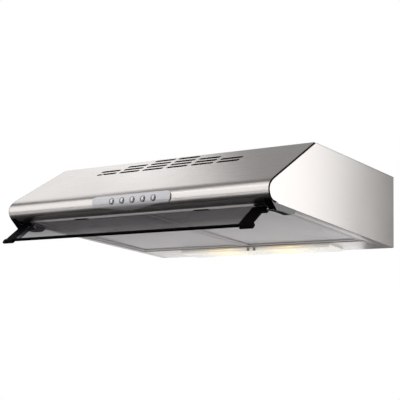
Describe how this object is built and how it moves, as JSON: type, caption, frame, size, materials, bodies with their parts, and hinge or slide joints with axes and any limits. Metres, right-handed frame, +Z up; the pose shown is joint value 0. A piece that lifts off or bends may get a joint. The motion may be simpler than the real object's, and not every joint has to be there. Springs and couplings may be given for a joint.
{
  "type": "under cabinet range hood",
  "caption": "Steel hood that fits under a wall cabinet, with a sloped vented front, rounded nose with push buttons, tilting smoked visor, grease filters, lamps and a duct collar on top.",
  "frame": {"origin": "middle of the flat top face that screws up against the cabinet", "axes": "+X to the right seen from the front, +Y towards the wall, +Z up"},
  "size_m": [0.6, 0.5439, 0.217],
  "materials": {
    "brushed_steel": "brushed stainless steel sheet, grain along the width",
    "zinc_plate": "zinc plated steel",
    "filter_aluminium": "rolled aluminium frame",
    "filter_mesh": "expanded aluminium mesh pad",
    "black_plastic": "fine satin moulding",
    "grey_plastic": "moulded",
    "silver_plastic": "silver lacquered moulding",
    "white_plastic": "moulded",
    "smoked_glass": "smoked clear pane",
    "opal_diffuser": "opal plastic diffuser",
    "bulb_glass": "frosted bulb, lit warm",
    "black_rubber": "soft strip",
    "motor_steel": "lacquered laminations",
    "cable_sheath": "sheathed cable"
  },
  "bodies": {
    "hood": {"bulb_left": "bulb_glass", "bulb_right": "bulb_glass", "cable_gland": "black_plastic", "capacitor": "white_plastic", "control_bezel": "silver_plastic", "damper_pin": "zinc_plate", "filter_centre_rail": "brushed_steel", "filter_front_rail": "brushed_steel", "front_panel": "brushed_steel", "hinge_bracket_left": "black_plastic", "hinge_bracket_right": "black_plastic", "hinge_pin_left": "zinc_plate", "hinge_pin_right": "zinc_plate", "inlet_plate": "grey_plastic", "lamp_cable": "cable_sheath", "lamp_clip_left": "black_plastic", "lamp_clip_right": "black_plastic", "lamp_holder_left": "white_plastic", "lamp_holder_right": "white_plastic", "lamp_panel": "brushed_steel", "lamp_tray": "zinc_plate", "motor_body": "motor_steel", "motor_cable": "cable_sheath", "motor_cradle": "zinc_plate", "outlet_collar": "grey_plastic", "rear_panel": "brushed_steel", "scroll_housing": "grey_plastic", "seam_trim_left": "black_rubber", "seam_trim_right": "black_rubber", "side_panel_left": "brushed_steel", "side_panel_right": "brushed_steel", "switch_block": "white_plastic", "switch_bracket": "zinc_plate", "switch_cable": "cable_sheath", "terminal_box": "white_plastic", "terminal_lid": "white_plastic", "top_panel": "brushed_steel"},
    "visor": {"visor_arm_left": "black_plastic", "visor_arm_right": "black_plastic", "visor_glass": "smoked_glass", "visor_rail": "black_plastic"},
    "fan": {"impeller": "grey_plastic", "motor_shaft": "zinc_plate"},
    "damper_front": {"damper_flap_front": "grey_plastic"},
    "damper_rear": {"damper_flap_rear": "grey_plastic"},
    "filter_left": {"filter_frame_left": "filter_aluminium", "filter_mesh_left": "filter_mesh"},
    "filter_right": {"filter_frame_right": "filter_aluminium", "filter_mesh_right": "filter_mesh"},
    "latch_left": {"filter_latch_left": "black_plastic"},
    "latch_right": {"filter_latch_right": "black_plastic"},
    "lamp_cover": {"lamp_cover": "opal_diffuser"},
    "button_1": {"push_button_1": "silver_plastic"},
    "button_2": {"push_button_2": "silver_plastic"},
    "button_3": {"push_button_3": "silver_plastic"},
    "button_4": {"push_button_4": "silver_plastic"},
    "button_5": {"push_button_5": "silver_plastic"}
  },
  "joints": [
    {"name": "visor_tilt", "type": "hinge", "parent": "hood", "child": "visor", "pos_m": [0, -0.3115, -0.143], "axis": [1, 0, 0], "range_deg": [0, 139]},
    {"name": "fan_spin", "type": "hinge", "parent": "hood", "child": "fan", "pos_m": [0.135, 0.0065, -0.06], "axis": [0, 0, 1], "continuous": true},
    {"name": "damper_front_swing", "type": "hinge", "parent": "hood", "child": "damper_front", "pos_m": [0, 0.0765, 0.0135], "axis": [-1, 0, 0], "range_deg": [0, 75]},
    {"name": "damper_rear_swing", "type": "hinge", "parent": "hood", "child": "damper_rear", "pos_m": [0, 0.0765, 0.0135], "axis": [1, 0, 0], "range_deg": [0, 75]},
    {"name": "filter_left_drop", "type": "hinge", "parent": "hood", "child": "filter_left", "pos_m": [0, 0.08017, -0.14344], "axis": [1, 0, 0], "range_deg": [0, 80]},
    {"name": "filter_right_drop", "type": "hinge", "parent": "hood", "child": "filter_right", "pos_m": [0, 0.08017, -0.14344], "axis": [1, 0, 0], "range_deg": [0, 80]},
    {"name": "latch_left_slide", "type": "slide", "parent": "filter_left", "child": "latch_left", "axis": [0, 0.9994, -0.0342], "range_m": [0, 0.003], "stiffness_N_per_m": 300},
    {"name": "latch_right_slide", "type": "slide", "parent": "filter_right", "child": "latch_right", "axis": [0, 0.9994, -0.0342], "range_m": [0, 0.003], "stiffness_N_per_m": 300},
    {"name": "lamp_cover_drop", "type": "hinge", "parent": "hood", "child": "lamp_cover", "pos_m": [0, 0.16624, -0.15158], "axis": [1, 0, 0], "range_deg": [0, 70]},
    {"name": "button_press_1", "type": "slide", "parent": "hood", "child": "button_1", "axis": [0, 1, 0], "range_m": [0, 0.0025], "stiffness_N_per_m": 400},
    {"name": "button_press_2", "type": "slide", "parent": "hood", "child": "button_2", "axis": [0, 1, 0], "range_m": [0, 0.0025], "stiffness_N_per_m": 400},
    {"name": "button_press_3", "type": "slide", "parent": "hood", "child": "button_3", "axis": [0, 1, 0], "range_m": [0, 0.0025], "stiffness_N_per_m": 400},
    {"name": "button_press_4", "type": "slide", "parent": "hood", "child": "button_4", "axis": [0, 1, 0], "range_m": [0, 0.0025], "stiffness_N_per_m": 400},
    {"name": "button_press_5", "type": "slide", "parent": "hood", "child": "button_5", "axis": [0, 1, 0], "range_m": [0, 0.0025], "stiffness_N_per_m": 400}
  ]
}
